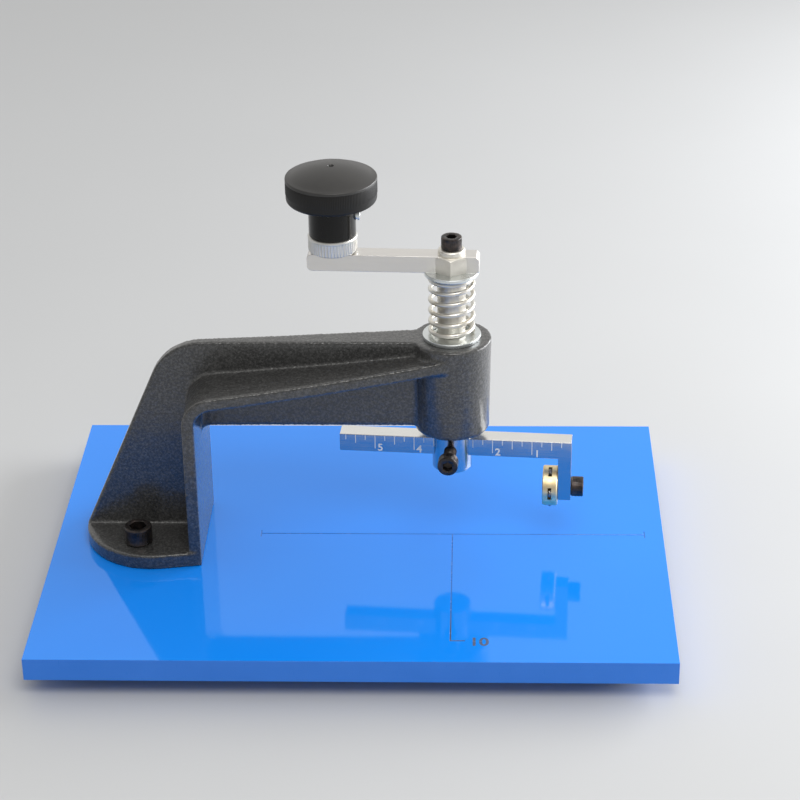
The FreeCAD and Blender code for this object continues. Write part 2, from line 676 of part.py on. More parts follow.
def make_knob():
    collar_bore, foot_radius, bevel = size["stud_radius"], size["collar_foot_radius"], 0.8
    collar_height = size["collar_foot"] + size["collar_height"]
    collar = turned("knurled_collar_body", [
        (collar_bore, 0), (foot_radius, 0), (foot_radius, size["collar_foot"]),
        (size["collar_radius"] - bevel, size["collar_foot"]),
        (size["collar_radius"], size["collar_foot"] + bevel),
        (size["collar_radius"], collar_height - bevel), (size["collar_radius"] - bevel, collar_height),
        (collar_bore, collar_height),
    ])
    place(collar, knob_x, knob_y, crank_top)
    keep(collar, "knurled_collar")

    sleeve_length, groove, clip_width, clip_thickness, stud_top, end_float = 28, 0.6, 2.2, 1.2, 2.5, 0.1
    sleeve_bottom = collar_top + end_float
    clip_bottom = sleeve_bottom + sleeve_length + end_float
    stud = turned("knob_stud_body", [
        (0, crank_bottom), (size["clamp_screw_radius"], crank_bottom),
        (size["clamp_screw_radius"], crank_top), (size["stud_radius"], crank_top),
        (size["stud_radius"], clip_bottom), (size["stud_radius"] - groove, clip_bottom),
        (size["stud_radius"] - groove, clip_bottom + clip_thickness),
        (size["stud_radius"], clip_bottom + clip_thickness),
        (size["stud_radius"], clip_bottom + stud_top), (0, clip_bottom + stud_top),
    ])
    place(stud, knob_x, knob_y)
    keep(stud, "knob_stud")
    clip = ring("stud_circlip_body", size["stud_radius"] - groove, size["stud_radius"] + clip_width,
                clip_thickness)
    place(clip, knob_x, knob_y, clip_bottom)
    keep(clip, "stud_circlip")
    sleeve = ring("knob_sleeve_body", size["stud_radius"] + gap, size["sleeve_radius"], sleeve_length)
    place(sleeve, knob_x, knob_y, sleeve_bottom)
    keep(sleeve, "knob_sleeve")

    neck, rim, bore = size["neck_radius"], size["knob_radius"], size["sleeve_radius"]
    knob_bottom = collar_top + thrust_gap
    under = size["neck_height"]
    shoulder = under + size["knob_rim"]
    top = shoulder + size["knob_crown"]
    roll, edge, bore_depth, dimple = 4, 1.2, 33, 1.5
    roll_mid = roll * (1 - math.sqrt(0.5))
    # A dome's height falls with the square of the radius: half way out it is three quarters up.
    crown_x, crown_z = rim / 2, shoulder + size["knob_crown"] * 0.75
    knob = turned("knob_body", [
        (bore, 0), (neck, 0), (neck, under), (rim - roll, under), (rim, under + roll),
        (rim, shoulder - edge), (rim - edge, shoulder), (dimple, top), (0, top - dimple),
        (0, bore_depth), (bore, bore_depth),
    ], arcs={3: (rim - roll_mid, under + roll_mid), 6: (crown_x, crown_z)})
    hole_level, set_radius, beyond_rim = 13, 3, 40
    hole = new_sketch(knob, "YZ_Plane")
    draw_circle(hole, 0, hole_level, set_radius)
    pocket(knob, hole, beyond_rim, upwards=True)
    place(knob, knob_x, knob_y, knob_bottom)
    keep(knob, "knob")

    set_head, set_head_height, key = 4, 2.5, 2.5
    shank = neck - bore
    screw = socket_screw("knob_set_screw_body", set_radius, shank, set_head, set_head_height, key, bevel=0.4)
    sideways = Rotation(Vector(0, 1, 0), 90)
    place(screw, knob_x + neck, knob_y, knob_bottom + hole_level, sideways)
    keep(screw, "knob_set_screw")


# ---- bar holder, scale bar and turret ---------------------------------------------------------

def make_holder():
    """The spindle's lower head, with a square slot through it for the scale bar."""
    radius, bevel, height = size["holder_radius"], 0.8, size["holder_height"]
    spigot_radius, spigot_length = size["spigot_radius"], size["spigot_length"]
    holder = turned("bar_holder_body", [
        (0, 0), (radius - bevel, 0), (radius, bevel), (radius, height), (spigot_radius, height),
        (spigot_radius, height - spigot_length), (0, height - spigot_length),
    ])
    half_slot = size["bar_section"] / 2 + gap
    middle = bar_middle - holder_bottom
    slot = new_sketch(holder, "YZ_Plane")
    draw_outline(slot, rectangle(-half_slot, half_slot, middle - half_slot, middle + half_slot))
    slot_length, screw_hole_length = 40, 20
    pocket(holder, slot, slot_length, symmetric=True)
    screw_hole = new_sketch(holder, "XZ_Plane")
    draw_circle(screw_hole, 0, middle, size["clamp_screw_radius"] + gap)
    pocket(holder, screw_hole, screw_hole_length, upwards=True)
    place(holder, spindle_x, 0, holder_bottom, bar_turn)
    keep(holder, "bar_holder")

    length, head, head_height, key = 19, 6.5, 8, 6
    screw = socket_screw("bar_clamp_screw_body", size["clamp_screw_radius"], length, head, head_height, key)
    seat = size["bar_section"] / 2 + gap + length
    facing_out = bar_turn.multiply(Rotation(Vector(1, 0, 0), 90))
    place(screw, *on_bar(0, -seat), bar_middle, facing_out)
    keep(screw, "bar_clamp_screw")


def make_scale_bar():
    """The square bar with its leg turned down at the right-hand end."""
    left, right = -size["bar_left"], size["bar_right"]
    bottom, top = plate_top + size["bar_bottom"], plate_top + size["bar_bottom"] + size["bar_section"]
    leg_left = right - size["leg_width"]
    leg_bottom = bottom - size["leg_drop"]
    bar = padded("scale_bar_body", "XZ_Plane", [
        (left, bottom), (leg_left, bottom), (leg_left, leg_bottom), (right, leg_bottom),
        (right, top), (left, top),
    ], size["bar_section"], symmetric=True)
    hole = new_sketch(bar, "YZ_Plane", right)
    draw_circle(hole, 0, plate_top + size["turret_z"], size["clamp_screw_radius"])
    pocket(bar, hole, size["leg_width"])
    place(bar, spindle_x, 0, 0, bar_turn)
    return keep(bar, "scale_bar")


def make_turret():
    """A brass disc with five slots round its rim, a pinned cutting wheel in each."""
    radius, thickness = size["turret_radius"], size["turret_thickness"]
    turret_gap, wheel_count = 0.1, 5
    leg_left = size["bar_right"] - size["leg_width"]
    level = plate_top + size["turret_z"]
    middle = leg_left - turret_gap - thickness / 2
    bevel, axle = 0.6, size["axle_radius"]
    bore = size["clamp_screw_radius"] + gap
    turret = turned("turret_body", [
        (bore, -thickness / 2), (radius - bevel, -thickness / 2), (radius, bevel - thickness / 2),
        (radius, thickness / 2 - bevel), (radius - bevel, thickness / 2), (bore, thickness / 2),
    ])
    wheel_clearance, past_rim = 0.4, 1
    slot_floor = size["wheel_ring"] - size["wheel_radius"] - wheel_clearance
    slots = new_sketch(turret, "XZ_Plane")
    half_width = size["slot_width"] / 2
    draw_outline(slots, rectangle(slot_floor, radius + past_rim, -half_width, half_width))
    slot = pocket(turret, slots, size["slot_half_length"] * 2, symmetric=True)
    pins = new_sketch(turret, "XY_Plane", thickness / 2)
    draw_circle(pins, size["wheel_ring"], 0, axle)
    pin_hole = pocket(turret, pins, thickness)
    pattern = turret.newObject("PartDesign::PolarPattern", "turret_pattern")
    pattern.Originals = [slot, pin_hole]
    pattern.Axis = (slots, ["V_Axis"])
    pattern.Angle = 360
    pattern.Occurrences = wheel_count
    turret.Tip = pattern
    lying = bar_turn.multiply(Rotation(Vector(0, 1, 0), 90))
    # The first slot lies along local +X, which lies along -Z and is turned back about the disc's axis.
    turned_back = Rotation(Vector(0, 0, 1), -number(size["turret_turn"]))
    place(turret, *on_bar(middle), level, lying.multiply(turned_back))
    keep(turret, "turret")

    length, head, head_height, key = 18, 6.5, 8, 6
    screw = socket_screw("turret_screw_body", size["clamp_screw_radius"], length, head, head_height, key)
    place(screw, *on_bar(size["bar_right"]), level, lying)
    keep(screw, "turret_screw")

    axles = []
    wheel_gap, edge_flat, edge_depth = 0.05, 0.15, 0.7
    for index in range(wheel_count):
        angle = size["turret_turn"] + 360 / wheel_count * index
        across = -sine(angle) * size["wheel_ring"]
        up = level - cosine(angle) * size["wheel_ring"]
        axle_start = middle - thickness / 2
        pin_body = cylinder(f"axle_{index + 1}", axle, thickness)
        place(pin_body, *on_bar(axle_start, across), up, lying)
        axles.append(pin_body)
        wheel = turned(f"wheel_body_{index + 1}", [
            (axle + wheel_gap, -size["wheel_thickness"] / 2),
            (size["wheel_radius"] - edge_depth, -size["wheel_thickness"] / 2),
            (size["wheel_radius"], -edge_flat / 2), (size["wheel_radius"], edge_flat / 2),
            (size["wheel_radius"] - edge_depth, size["wheel_thickness"] / 2),
            (axle + wheel_gap, size["wheel_thickness"] / 2),
        ])
        place(wheel, *on_bar(middle, across), up, lying)
        keep(wheel, f"cutter_wheel_{index + 1}")
    keep(group("wheel_axle_set", axles), "wheel_axles")


# ---- whole assembly --------------------------------------------------------------------------

make_base_plate()
make_feet()
make_arm_casting()
make_arm_fasteners()
make_bushes()
make_washers()
make_spring()
make_spindle()
make_crank()
make_knob()
make_holder()
make_scale_bar()
make_turret()
doc.recompute()

for item in doc.Objects:
    if "Invalid" in item.State or "Error" in item.State:
        raise SystemExit(f"{item.Name} failed: {item.State}")
os.makedirs("parts", exist_ok=True)
for label, item in parts.items():
    shape = item.Shape
    if shape.isNull() or not shape.isValid() or not shape.Solids:
        raise SystemExit(f"{label} has no valid solid")
    shape.exportStep(f"parts/{label}.step")
    box = shape.BoundBox
    corners = [round(value, 1) for value in (box.XMin, box.XMax, box.YMin, box.YMax, box.ZMin, box.ZMax)]
    print(f"{label:18s} solids {len(shape.Solids)}  volume {shape.Volume:10.1f}  box {corners}")
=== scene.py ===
import json
import math
import bmesh
import bpy
from mathutils import Euler, Matrix, Quaternion, Vector


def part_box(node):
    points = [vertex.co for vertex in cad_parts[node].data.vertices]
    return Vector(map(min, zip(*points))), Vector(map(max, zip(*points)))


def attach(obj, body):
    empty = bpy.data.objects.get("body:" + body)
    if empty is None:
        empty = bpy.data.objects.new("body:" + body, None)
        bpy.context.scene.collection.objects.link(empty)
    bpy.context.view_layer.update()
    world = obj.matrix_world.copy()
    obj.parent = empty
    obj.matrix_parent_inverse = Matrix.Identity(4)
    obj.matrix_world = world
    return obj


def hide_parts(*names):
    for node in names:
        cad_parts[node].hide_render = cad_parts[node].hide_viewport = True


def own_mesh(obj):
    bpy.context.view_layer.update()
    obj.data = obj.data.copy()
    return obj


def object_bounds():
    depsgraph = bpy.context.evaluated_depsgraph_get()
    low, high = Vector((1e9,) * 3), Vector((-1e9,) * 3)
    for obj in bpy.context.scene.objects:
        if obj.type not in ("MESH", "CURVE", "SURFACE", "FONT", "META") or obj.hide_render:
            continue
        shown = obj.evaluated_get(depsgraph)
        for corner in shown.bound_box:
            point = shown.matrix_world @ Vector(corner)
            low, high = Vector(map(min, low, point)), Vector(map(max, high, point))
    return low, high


# Rotary circle glass cutter.  Metres, +Z up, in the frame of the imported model: the plate's
# middle is at X = Y = 0 and the rubber feet stand on Z = 0.

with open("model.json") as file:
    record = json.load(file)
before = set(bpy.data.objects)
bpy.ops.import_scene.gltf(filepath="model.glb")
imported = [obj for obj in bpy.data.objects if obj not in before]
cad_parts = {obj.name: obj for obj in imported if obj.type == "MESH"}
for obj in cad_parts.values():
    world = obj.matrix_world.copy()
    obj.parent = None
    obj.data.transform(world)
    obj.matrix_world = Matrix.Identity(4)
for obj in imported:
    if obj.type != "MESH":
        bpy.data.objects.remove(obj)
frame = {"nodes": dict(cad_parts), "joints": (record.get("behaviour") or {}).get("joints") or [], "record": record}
cad_low, cad_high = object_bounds()

MM = 0.001
CAD_WELD = 2e-6
NODES = frame["nodes"]
RECORD = frame["record"]
JOINTS = {joint["name"]: joint for joint in frame["joints"]}
BODY_OF = {node: body for body, nodes in RECORD["behaviour"]["bodies"].items() for node in nodes}
SLOT_OF = {part["node"]: part["material_slot"] for part in RECORD["subparts"]}

UP = Vector((0, 0, 1))
SPINDLE = Vector(JOINTS["spindle_turn"]["pos_m"])
KNOB = Vector(JOINTS["knob_spin"]["pos_m"])
TURRET = Vector(JOINTS["turret_index"]["pos_m"])
BAR_ALONG = Vector(JOINTS["bar_slide"]["axis"]).normalized()
BAR_OUT = Vector(JOINTS["bar_clamp_turn"]["axis"]).normalized()
CRANK_ALONG = Vector((SPINDLE.x - KNOB.x, SPINDLE.y - KNOB.y, 0)).normalized()


# ---- places and measures ---------------------------------------------------------------------

def axes_at(origin, z_axis, x_axis):
    """A matrix whose Z and X axes lie along these directions, at this origin."""
    z = z_axis.normalized()
    y = z.cross(x_axis).normalized()
    x = y.cross(z)
    rotation = Matrix((x, y, z)).transposed().to_4x4()
    return Matrix.Translation(origin) @ rotation


def span(node, matrix):
    """Lowest and highest corner of a CAD node's points in the axes of a matrix."""
    inverse = matrix.inverted()
    points = [inverse @ vertex.co for vertex in NODES[node].data.vertices]
    low = Vector(min(point[axis] for point in points) for axis in range(3))
    high = Vector(max(point[axis] for point in points) for axis in range(3))
    return low, high


# ---- meshes ----------------------------------------------------------------------------------

def rounded(corners):
    """Points of a profile of (radius, height, fillet) corners, each fillet as an arc of points."""
    steps, most_of_side = 5, 0.49
    points = []
    last = len(corners) - 1
    for index, (radius, height, fillet) in enumerate(corners):
        here = Vector((radius, height))
        if fillet == 0 or index in (0, last):
            points.append((radius, height))
            continue
        before = Vector(corners[index - 1][:2]) - here
        after = Vector(corners[index + 1][:2]) - here
        half = before.angle(after) / 2
        reach = min(fillet / math.tan(half), before.length * most_of_side, after.length * most_of_side)
        size = reach * math.tan(half)
        centre = here + (before.normalized() + after.normalized()).normalized() * size / math.sin(half)
        start = here + before.normalized() * reach - centre
        turn = start.angle_signed(here + after.normalized() * reach - centre)
        for step in range(steps + 1):
            angle = -turn * step / steps
            cosine, sine = math.cos(angle), math.sin(angle)
            points.append((centre.x + start.x * cosine - start.y * sine,
                           centre.y + start.x * sine + start.y * cosine))
    return points


def loft(sections, count):
    """A mesh through rings about Z; a section's radius is a number or a function of the angle."""
    mesh = bmesh.new()
    rings = []
    for radius, height in sections:
        if radius == 0:
            rings.append([mesh.verts.new((0, 0, height))])
            continue
        ring = []
        for index in range(count):
            angle = 2 * math.pi * index / count
            reach = radius(angle) if callable(radius) else radius
            ring.append(mesh.verts.new((reach * math.cos(angle), reach * math.sin(angle), height)))
        rings.append(ring)
    for low, high in zip(rings, rings[1:]):
        for index in range(count):
            after = (index + 1) % count
            if len(low) == 1 and len(high) == 1:
                break
            if len(low) == 1:
                mesh.faces.new((low[0], high[after], high[index]))
            elif len(high) == 1:
                mesh.faces.new((low[index], low[after], high[0]))
            else:
                mesh.faces.new((low[index], low[after], high[after], high[index]))
    return mesh


def closed(sections, count):
    """A ring-shaped loft: its last section joins its first."""
    return loft(sections + sections[:1], count)


def hexagon(flats):
    """The radius of a hexagon, given across its flats, as a function of the angle."""
    sector = math.pi / 3

    def radius(angle):
        return flats / 2 / math.cos(angle % sector - sector / 2)
    return radius


def knurl(radius, teeth, depth):
    """A ridged ring: the radius as a function of the angle."""
    fullness = 0.8

    def at(angle):
        return radius - depth * (0.5 - 0.5 * math.cos(teeth * angle)) ** fullness
    return at


def finish_mesh(work, name, sharp_deg=35, weld=1e-7):
    """Turn a bmesh into a smooth-shaded mesh that stays sharp at its edges."""
    bmesh.ops.remove_doubles(work, verts=work.verts, dist=weld)
    bmesh.ops.recalc_face_normals(work, faces=work.faces)
    mesh = bpy.data.meshes.new(name)
    work.to_mesh(mesh)
    work.free()
    mesh.shade_smooth()
    mesh.set_sharp_from_angle(angle=math.radians(sharp_deg))
    return mesh


def add_piece(name, mesh, node, materials, replaces=True):
    """Put a finished mesh in the scene; it moves with its CAD node's body and stands for it."""
    for material in materials:
        mesh.materials.append(material)
    piece = bpy.data.objects.new(name, mesh)
    bpy.context.scene.collection.objects.link(piece)
    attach(piece, BODY_OF[node])
    if replaces:
        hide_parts(node)
    return piece


def baked(piece):
    """Apply a piece's modifiers to its mesh."""
    graph = bpy.context.evaluated_depsgraph_get()
    mesh = bpy.data.meshes.new_from_object(piece.evaluated_get(graph))
    piece.modifiers.clear()
    piece.data = mesh
    return piece


def softened(node, name, materials, width, segments=2, pick=None):
    """A CAD node's form with its edges eased, as a real part's are broken after machining."""
    flat, sharp_deg, eased_from = math.radians(0.6), 28, math.radians(38)
    work = bmesh.new()
    work.from_mesh(NODES[node].data)
    bmesh.ops.remove_doubles(work, verts=work.verts, dist=CAD_WELD)
    bmesh.ops.dissolve_limit(work, angle_limit=flat, verts=work.verts, edges=work.edges)
    if pick is not None:
        for face in work.faces:
            face.material_index = pick(face)
    mesh = finish_mesh(work, name, sharp_deg)
    piece = add_piece(name, mesh, node, materials)
    bevel = piece.modifiers.new("eased_edges", "BEVEL")
    bevel.width = width
    bevel.segments = segments
    bevel.limit_method = "ANGLE"
    bevel.angle_limit = eased_from
    bevel.harden_normals = True
    bevel.use_clamp_overlap = True
    return baked(piece)


# ---- materials -------------------------------------------------------------------------------

class Shader:
    """A procedural material around one Principled shader, in object coordinates."""

    def __init__(self, name, **constants):
        self.material = bpy.data.materials.new(name)
        self.material.use_nodes = True
        self.tree = self.material.node_tree
        self.surface = self.tree.nodes["Principled BSDF"]
        for socket, value in constants.items():
            self.surface.inputs[socket.replace("_", " ")].default_value = value
        self.place = self.tree.nodes.new("ShaderNodeTexCoord").outputs["Object"]

    def node(self, kind, settings=None, **inputs):
        """Add a node; inputs are values or the outputs of other nodes."""
        item = self.tree.nodes.new(kind)
        for key, value in (settings or {}).items():
            setattr(item, key, value)
        for key, value in inputs.items():
            socket = item.inputs[int(key[1:])] if key[0] == "i" and key[1:].isdigit() else item.inputs[key]
            self.join(value, socket)
        return item

    def join(self, value, socket):
        if isinstance(value, bpy.types.NodeSocket):
            self.tree.links.new(value, socket)
        else:
            socket.default_value = value

    def math(self, operation, first, second=0.0):
        return self.node("ShaderNodeMath", {"operation": operation}, i0=first, i1=second).outputs[0]

    def mapped(self, scale, turn=0.0):
        """Coordinates stretched by scale after a turn about Z."""
        turned = self.node("ShaderNodeVectorRotate", {"rotation_type": "Z_AXIS"},
                           Vector=self.place, Angle=turn).outputs[0]
        return self.node("ShaderNodeMapping", Vector=turned, Scale=scale).outputs[0]

    def noise(self, scale, detail=3.0, rough=0.5, place=None):
        item = self.node("ShaderNodeTexNoise", Scale=scale, Detail=detail, Roughness=rough,
                         Vector=place or self.place)
        return item.outputs["Fac"]

    def cells(self, scale, feature="F1"):
        item = self.node("ShaderNodeTexVoronoi", {"feature": feature}, Scale=scale, Vector=self.place)
        return item.outputs["Distance"]

    def remap(self, value, low, high, out_low, out_high):
        item = self.node("ShaderNodeMapRange", {"clamp": True}, i0=value, i1=low, i2=high,
                         i3=out_low, i4=out_high)
        return item.outputs[0]

    def mix(self, share, first, second):
        """Blend two colours by a share from 0 to 1."""
        item = self.node("ShaderNodeMix", {"data_type": "RGBA"})
        self.join(share, item.inputs[0])
        self.join(first, item.inputs[6])
        self.join(second, item.inputs[7])
        return item.outputs[2]

    def bump(self, height, strength, distance, under=None):
        inputs = {"Height": height, "Strength": strength, "Distance": distance}
        if under is not None:
            inputs["Normal"] = under
        return self.node("ShaderNodeBump", **inputs).outputs[0]

    def radius_about(self, centre, axis="Z"):
        """Distance from a line along Z or X through a point, for turned faces."""
        away = self.node("ShaderNodeVectorMath", {"operation": "SUBTRACT"}, i0=self.place, i1=tuple(centre))
        along = {"Z": (1, 1, 0), "X": (0, 1, 1)}[axis]
        flat = self.node("ShaderNodeVectorMath", {"operation": "MULTIPLY"}, i0=away.outputs[0], i1=along)
        return self.node("ShaderNodeVectorMath", {"operation": "LENGTH"}, i0=flat.outputs[0]).outputs["Value"]

    def done(self, **links):
        """Join what varies to the shader's sockets and give the material back."""
        for socket, value in links.items():
            self.join(value, self.surface.inputs[socket.replace("_", " ")])
        return self.material


def rgb(red, green, blue):
    return (red, green, blue, 1.0)


def plate_face():
    """Polished coloured sheet: faint cloudiness, fine haze of hairline scratches."""
    look = Shader("plate_face", IOR=1.5, Coat_Weight=0.15, Coat_Roughness=0.03)
    cloud = look.noise(9.0, 2.0)
    colour = look.mix(cloud, rgb(0.005, 0.245, 0.94), rgb(0.010, 0.275, 0.98))
    scratch = look.noise(1.0, 4.0, 0.6, look.mapped((30, 900, 30), 0.5))
    haze = look.noise(220.0, 4.0)
    worn = look.remap(scratch, 0.62, 0.8, 0.0, 0.10)
    rough = look.math("ADD", worn, look.remap(haze, 0.3, 0.8, 0.05, 0.09))
    wave = look.bump(look.noise(14.0, 1.0), 0.10, 0.0006)
    fine = look.bump(scratch, 0.04, 0.00004, wave)
    return look.done(Base_Color=colour, Roughness=rough, Normal=fine)


def plate_edge():
    """The sheet's sawn and scraped edge: duller, with fine streaks and specks."""
    look = Shader("plate_edge", IOR=1.5)
    streak = look.noise(1.0, 5.0, 0.6, look.mapped((1400, 1400, 70)))
    blotch = look.noise(45.0, 3.0)
    colour = look.mix(blotch, rgb(0.020, 0.205, 0.82), rgb(0.036, 0.240, 0.90))
    specks = look.remap(look.cells(900.0), 0.0, 0.18, 1.0, 0.0)
    colour = look.mix(look.math("MULTIPLY", specks, 0.5), colour, rgb(0.12, 0.30, 0.80))
    rough = look.remap(streak, 0.3, 0.7, 0.26, 0.44)
    return look.done(Base_Color=colour, Roughness=rough, Normal=look.bump(streak, 0.25, 0.00006))


def line_paint():
    """Worn filler in the engraved setting lines: little darker than the sheet, browner at the front."""
    look = Shader("line_paint", IOR=1.5, Coat_Weight=0.2, Coat_Roughness=0.08)
    patch = look.noise(160.0, 4.0, 0.65)
    along = look.node("ShaderNodeSeparateXYZ", i0=look.place).outputs["Y"]
    front = look.remap(along, -0.075, -0.115, 0.0, 1.0)
    worn = look.mix(patch, rgb(0.006, 0.200, 0.78), rgb(0.020, 0.190, 0.62))
    brown = look.mix(patch, rgb(0.060, 0.120, 0.26), rgb(0.120, 0.120, 0.17))
    return look.done(Base_Color=look.mix(front, worn, brown),
                     Roughness=look.remap(patch, 0.2, 0.8, 0.15, 0.35),
                     Normal=look.bump(patch, 0.15, 0.00004))


def hammered_paint():
    """Dark grey hammered paint: shallow dimples and metallic flecks over a cast skin."""
    look = Shader("hammered_paint", IOR=1.6, Metallic=0.2, Coat_Weight=0.85, Coat_Roughness=0.17)
    dimple = look.cells(430.0, "SMOOTH_F1")
    mottle = look.noise(620.0, 3.0, 0.65)
    fleck = look.noise(1500.0, 3.0, 0.7)
    cloud = look.noise(38.0, 4.0)
    ground = look.mix(cloud, rgb(0.016, 0.016, 0.016), rgb(0.034, 0.034, 0.033))
    mixed = look.mix(look.remap(mottle, 0.44, 0.66, 0.0, 1.0), ground, rgb(0.086, 0.086, 0.085))
    colour = look.mix(look.remap(fleck, 0.58, 0.74, 0.0, 0.7), mixed, rgb(0.24, 0.24, 0.238))
    haze = look.remap(fleck, 0.4, 0.8, 0.06, -0.08)
    rough = look.math("ADD", look.remap(dimple, 0.0, 0.7, 0.30, 0.46), haze)
    skin = look.bump(look.noise(120.0, 3.0), 0.35, 0.0005)
    hammered = look.bump(dimple, 0.6, 0.0004, skin)
    normal = look.bump(mottle, 0.3, 0.00008, hammered)
    return look.done(Base_Color=colour, Roughness=rough, Normal=normal, Coat_Normal=skin)


def turned_steel(name, centre, colour, rough):
    """Bright metal turned about an upright axis, with fine tool rings and a little handling haze."""
    look = Shader(name, Metallic=1.0, IOR=2.5)
    radius = look.math("MULTIPLY", look.radius_about(centre), 2600.0)
    rings = look.node("ShaderNodeTexNoise", {"noise_dimensions": "1D"}, W=radius, Scale=1.0, Detail=3.0)
    lines = look.noise(1.0, 3.0, 0.6, look.mapped((60, 60, 2400)))
    cloud = look.noise(90.0, 4.0)
    dim = rgb(*(part * 0.84 for part in colour))
    tint = look.mix(look.remap(cloud, 0.35, 0.75, 0.0, 1.0), rgb(*colour), dim)
    haze = look.remap(cloud, 0.3, 0.7, rough, rough + 0.08)
    worn = look.math("ADD", look.remap(lines, 0.3, 0.7, -0.03, 0.05), haze)
    under = look.bump(lines, 0.12, 0.00003)
    normal = look.bump(rings.outputs["Fac"], 0.12, 0.00003, under)
    return look.done(Base_Color=tint, Roughness=worn, Normal=normal)


def zinc_plate():
    """Bright zinc: pale bluish metal with a faint crystal bloom."""
    look = Shader("zinc_plate", Metallic=1.0, IOR=2.2)
    bloom = look.noise(140.0, 5.0, 0.6)
    grain = look.cells(1300.0)
    colour = look.mix(bloom, rgb(0.68, 0.72, 0.72), rgb(0.83, 0.86, 0.86))
    haze = look.remap(grain, 0.0, 0.6, 0.05, 0.0)
    rough = look.math("ADD", look.remap(bloom, 0.3, 0.7, 0.22, 0.36), haze)
    return look.done(Base_Color=colour, Roughness=rough, Normal=look.bump(grain, 0.10, 0.00003))


def drawn_wire():
    """Bright spring wire: satin, with faint die lines and a warm cast in places."""
    look = Shader("drawn_wire", Metallic=1.0, IOR=2.5)
    cloud = look.noise(70.0, 4.0)
    pits = look.noise(1800.0, 2.0)
    warm = look.remap(cloud, 0.35, 0.7, 0.0, 1.0)
    colour = look.mix(warm, rgb(0.84, 0.83, 0.79), rgb(0.76, 0.71, 0.61))
    haze = look.remap(pits, 0.5, 0.8, 0.0, 0.08)
    rough = look.math("ADD", look.remap(cloud, 0.3, 0.7, 0.26, 0.38), haze)
    return look.done(Base_Color=colour, Roughness=rough, Normal=look.bump(pits, 0.08, 0.00002))


def black_oxide():
    """Black oxide on steel: nearly black, oily sheen, slightly brown where it is thin."""
    look = Shader("black_oxide", Metallic=0.75, IOR=1.8)
    cloud = look.noise(260.0, 4.0, 0.6)
    grain = look.noise(2200.0, 3.0, 0.6)
    thin = look.remap(cloud, 0.42, 0.72, 0.0, 1.0)
    colour = look.mix(thin, rgb(0.030, 0.028, 0.029), rgb(0.090, 0.066, 0.058))
    haze = look.remap(grain, 0.4, 0.8, -0.04, 0.06)
    rough = look.math("ADD", look.remap(cloud, 0.3, 0.7, 0.26, 0.40), haze)
    return look.done(Base_Color=colour, Roughness=rough, Normal=look.bump(grain, 0.12, 0.00003))


def brushed_aluminium(name, direction, colour, rough, strength=0.2, tooth=2300.0):
    """Aluminium with a grain along one direction."""
    look = Shader(name, Metallic=1.0, IOR=1.6)
    turn = -math.atan2(direction.y, direction.x)
    grain = look.noise(1.0, 4.0, 0.65, look.mapped((40, tooth, tooth), turn))
    cloud = look.noise(48.0, 4.0)
    pale = rgb(*(min(1.0, part * 1.08) for part in colour))
    tint = look.mix(cloud, rgb(*colour), pale)
    brushed = look.remap(grain, 0.3, 0.7, rough - 0.05, rough + 0.09)
    worn = look.math("ADD", brushed, look.remap(cloud, 0.3, 0.7, 0.0, 0.04))
    return look.done(Base_Color=tint, Roughness=worn, Normal=look.bump(grain, strength, 0.00005))


def moulded_black(name, rough, grain_scale, strength, painted_light_gain=1.0, shine=0.5):
    """Moulded black plastic with a fine surface texture and soft handling marks; the gain scales its blacks,
    painting light above 1 and shade below 1.
    """
    look = Shader(name, IOR=1.5, Specular_IOR_Level=shine)
    grain = look.noise(grain_scale, 3.0, 0.6)
    marks = look.noise(55.0, 5.0, 0.6)
    deep = rgb(0.012 * painted_light_gain, 0.012 * painted_light_gain, 0.012 * painted_light_gain)
    worn_black = rgb(0.021 * painted_light_gain, 0.020 * painted_light_gain, 0.019 * painted_light_gain)
    haze = look.remap(grain, 0.3, 0.8, -0.02, 0.03)
    worn = look.math("ADD", look.remap(marks, 0.3, 0.7, rough - 0.03, rough + 0.06), haze)
    return look.done(Base_Color=look.mix(marks, deep, worn_black), Roughness=worn,
                     Normal=look.bump(grain, strength, 0.00004))


def polished_brass():
    """Turned brass with fine tool rings and slight tarnish."""
    look = Shader("polished_brass", Metallic=1.0, IOR=1.5)
    radius = look.math("MULTIPLY", look.radius_about(TURRET, "X"), 3200.0)
    rings = look.node("ShaderNodeTexNoise", {"noise_dimensions": "1D"}, W=radius, Scale=1.0, Detail=3.0)
    tarnish = look.noise(300.0, 4.0, 0.6)
    dull = look.remap(tarnish, 0.4, 0.75, 0.0, 1.0)
    colour = look.mix(dull, rgb(0.93, 0.79, 0.50), rgb(0.74, 0.56, 0.30))
    rough = look.remap(tarnish, 0.3, 0.75, 0.36, 0.48)
    return look.done(Base_Color=colour, Roughness=rough,
                     Normal=look.bump(rings.outputs["Fac"], 0.15, 0.00003))


def hard_wheel():
    """Ground hard-metal wheels, dark grey."""
    look = Shader("hard_wheel", Metallic=1.0, IOR=2.2)
    grain = look.noise(2600.0, 3.0)
    colour = look.mix(grain, rgb(0.16, 0.16, 0.17), rgb(0.30, 0.30, 0.31))
    return look.done(Base_Color=colour, Roughness=look.remap(grain, 0.3, 0.7, 0.20, 0.34),
                     Normal=look.bump(grain, 0.1, 0.00002))


def plain_bronze():
    look = Shader("plain_bronze", Metallic=1.0, IOR=1.5)
    pores = look.cells(1500.0)
    cloud = look.noise(200.0, 3.0)
    colour = look.mix(cloud, rgb(0.50, 0.31, 0.13), rgb(0.64, 0.43, 0.20))
    rough = look.remap(pores, 0.0, 0.5, 0.45, 0.28)
    return look.done(Base_Color=colour, Roughness=rough, Normal=look.bump(pores, 0.15, 0.00003))


